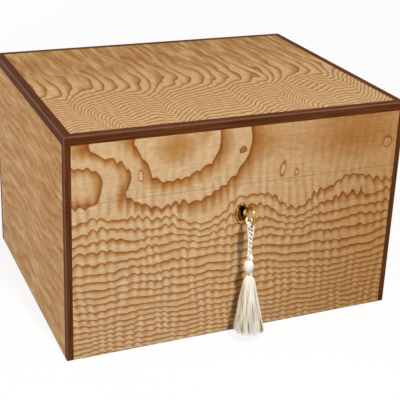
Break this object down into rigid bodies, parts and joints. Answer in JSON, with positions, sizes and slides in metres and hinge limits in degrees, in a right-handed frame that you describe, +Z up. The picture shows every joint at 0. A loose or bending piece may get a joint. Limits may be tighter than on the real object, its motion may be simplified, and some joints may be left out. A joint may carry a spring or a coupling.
{
  "type": "hinged lid box",
  "caption": "Veneered wooden keepsake box with a hinged lid, dark edging, a link-plate lock, and a key that carries a silk tassel.",
  "frame": {"origin": "centre of the underside, on the surface that the box stands on", "axes": "+Z up, +X to the right along the front, -Y out of the front face with the keyhole"},
  "size_m": [0.3556, 0.3276, 0.2286],
  "materials": {
    "figured_ash": "figured ash veneer under satin lacquer",
    "walnut": "dark walnut edging under satin lacquer",
    "core_board": "plain sanded board",
    "cedar": "oiled cedar lining",
    "suede": "brown suede cloth glued to a thin board",
    "baize": "green baize",
    "brass": "polished",
    "lock_brass": "satin",
    "silk": "ivory silk thread"
  },
  "bodies": {
    "base": {"base_back": "core_board", "base_front": "core_board", "base_left": "core_board", "base_right": "core_board", "base_strip_back_left": "walnut", "base_strip_back_right": "walnut", "base_strip_front_left": "walnut", "base_strip_front_right": "walnut", "base_veneer_back": "figured_ash", "base_veneer_front": "figured_ash", "base_veneer_left": "figured_ash", "base_veneer_right": "figured_ash", "bottom_panel": "core_board", "escutcheon": "brass", "escutcheon_pins": "brass", "floor_board": "suede", "hinge_base_leaf_left": "brass", "hinge_base_leaf_right": "brass", "hinge_base_screws": "brass", "hinge_pin_left": "brass", "hinge_pin_right": "brass", "liner_back": "cedar", "liner_front": "cedar", "liner_left": "cedar", "liner_right": "cedar", "lock_cap": "lock_brass", "lock_case": "lock_brass", "lock_screws": "lock_brass", "underside_felt": "baize"},
    "lid": {"hinge_lid_leaf_left": "brass", "hinge_lid_leaf_right": "brass", "hinge_lid_screws": "brass", "lid_back": "core_board", "lid_front": "core_board", "lid_left": "core_board", "lid_lining": "suede", "lid_right": "core_board", "lid_strip_back_left": "walnut", "lid_strip_back_right": "walnut", "lid_strip_front_left": "walnut", "lid_strip_front_right": "walnut", "lid_top": "core_board", "lid_veneer_back": "figured_ash", "lid_veneer_front": "figured_ash", "lid_veneer_left": "figured_ash", "lid_veneer_right": "figured_ash", "lid_veneer_top": "figured_ash", "strike_plate": "lock_brass", "strike_screws": "lock_brass", "top_edging_back": "walnut", "top_edging_front": "walnut", "top_edging_left": "walnut", "top_edging_right": "walnut"},
    "curtain": {"lock_curtain": "lock_brass"},
    "bolt": {"lock_bolt": "lock_brass"},
    "key": {"key": "brass"},
    "tassel": {"tassel_cord": "silk", "tassel_head": "silk", "tassel_skirt": "silk"}
  },
  "joints": [
    {"name": "lid_hinge", "type": "hinge", "parent": "base", "child": "lid", "pos_m": [0, 0.14567, 0.1614], "axis": [-1, 0, 0], "range_deg": [0, 95]},
    {"name": "key_turn", "type": "hinge", "parent": "base", "child": "curtain", "pos_m": [0, -0.14288, 0.1356], "axis": [0, 1, 0], "range_deg": [0, 90]},
    {"name": "bolt_slide", "type": "slide", "parent": "base", "child": "bolt", "axis": [1, 0, 0], "range_m": [0, 0.00793]},
    {"name": "key_withdraw", "type": "slide", "parent": "curtain", "child": "key", "axis": [0, -1, 0], "range_m": [0, 0.014]},
    {"name": "tassel_swing", "type": "hinge", "parent": "key", "child": "tassel", "pos_m": [0, -0.16437, 0.12699], "axis": [0, 1, 0], "range_deg": [-90, 0]}
  ],
  "couplings": [
    {"joint": "bolt_slide", "follows": "key_turn", "m_per_rad": 0.005042},
    {"joint": "tassel_swing", "follows": "key_turn", "ratio": -1}
  ]
}
